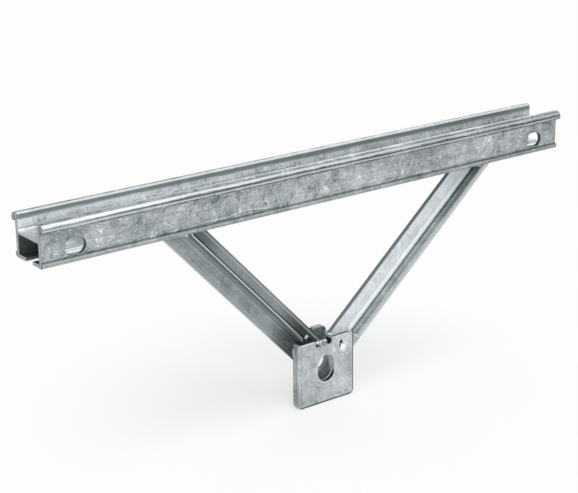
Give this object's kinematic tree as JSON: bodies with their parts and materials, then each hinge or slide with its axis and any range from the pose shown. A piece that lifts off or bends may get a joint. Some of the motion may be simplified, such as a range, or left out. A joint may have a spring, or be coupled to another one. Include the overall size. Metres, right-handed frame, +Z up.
{
  "type": "channel cross arm",
  "caption": "Galvanised steel cross arm: a slotted channel rail with curled upper edges on a V of welded tee braces, with a thick plate for one through bolt.",
  "frame": {"origin": "on the pole bolt's axis, at the back face of the eye lug, where the pole bears", "axes": "+X along the rail to the right as seen from the front, -Y to the front with the thick plate, +Z up"},
  "size_m": [0.896, 0.08, 0.3635],
  "materials": {
    "rail_zinc": "hot-dip galvanised, matt grey with a faint spangle",
    "left_brace_zinc": "hot-dip galvanised, mottled grey",
    "right_brace_zinc": "hot-dip galvanised, bright with fine specks",
    "plate_zinc": "hot-dip galvanised, matt grey",
    "lug_zinc": "hot-dip galvanised, matt grey",
    "weld_zinc": "weld bead under a zinc coat, uneven"
  },
  "bodies": {
    "root": {"rail": "rail_zinc", "left_brace": "left_brace_zinc", "right_brace": "right_brace_zinc", "front_plate": "plate_zinc", "eye_lug": "lug_zinc", "notch_weld": "weld_zinc", "left_seat_weld": "weld_zinc", "left_side_weld": "weld_zinc", "left_edge_weld": "weld_zinc", "left_tongue_weld": "weld_zinc", "right_seat_weld": "weld_zinc", "right_side_weld": "weld_zinc", "right_edge_weld": "weld_zinc", "right_tongue_weld": "weld_zinc"}
  },
  "joints": []
}
